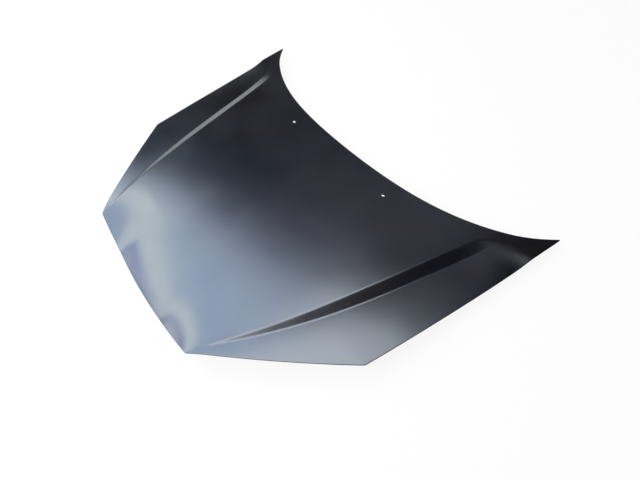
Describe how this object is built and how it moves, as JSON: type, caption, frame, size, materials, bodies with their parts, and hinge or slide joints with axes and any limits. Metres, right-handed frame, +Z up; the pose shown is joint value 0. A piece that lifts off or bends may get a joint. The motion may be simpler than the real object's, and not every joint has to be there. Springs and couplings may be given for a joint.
{
  "type": "car bonnet",
  "caption": "Bare steel bonnet for a compact car: a pressed skin with two raised creases, hemmed round a stamped inner frame with hinge seats and a striker loop.",
  "frame": {"origin": "middle of the bounding box, on the floor that the bonnet rests on", "axes": "-Y to the nose, +X to the car's left side, +Z up; the bonnet lies skin side up, pitched 4 degrees nose up on its striker"},
  "size_m": [1.3986, 1.009, 0.0957],
  "materials": {
    "skin primer": "satin black dip primer on pressed steel",
    "frame primer": "thin matt black dip primer on stamped steel",
    "plate primer": "black dip primer on thick steel plate",
    "zinc plating": "dull zinc plating",
    "mastic": "matt grey cured sealer"
  },
  "bodies": {
    "root": {"hinge_nut_left_front": "zinc plating", "hinge_nut_left_rear": "zinc plating", "hinge_nut_right_front": "zinc plating", "hinge_nut_right_rear": "zinc plating", "hinge_plate_left": "plate primer", "hinge_plate_right": "plate primer", "inner_frame": "frame primer", "mastic_left_1": "mastic", "mastic_left_2": "mastic", "mastic_left_3": "mastic", "mastic_left_4": "mastic", "mastic_left_5": "mastic", "mastic_left_6": "mastic", "mastic_right_1": "mastic", "mastic_right_2": "mastic", "mastic_right_3": "mastic", "mastic_right_4": "mastic", "mastic_right_5": "mastic", "mastic_right_6": "mastic", "outer_panel": "skin primer", "striker_loop": "zinc plating", "striker_plate": "plate primer", "striker_reinforcement": "plate primer"}
  },
  "joints": []
}
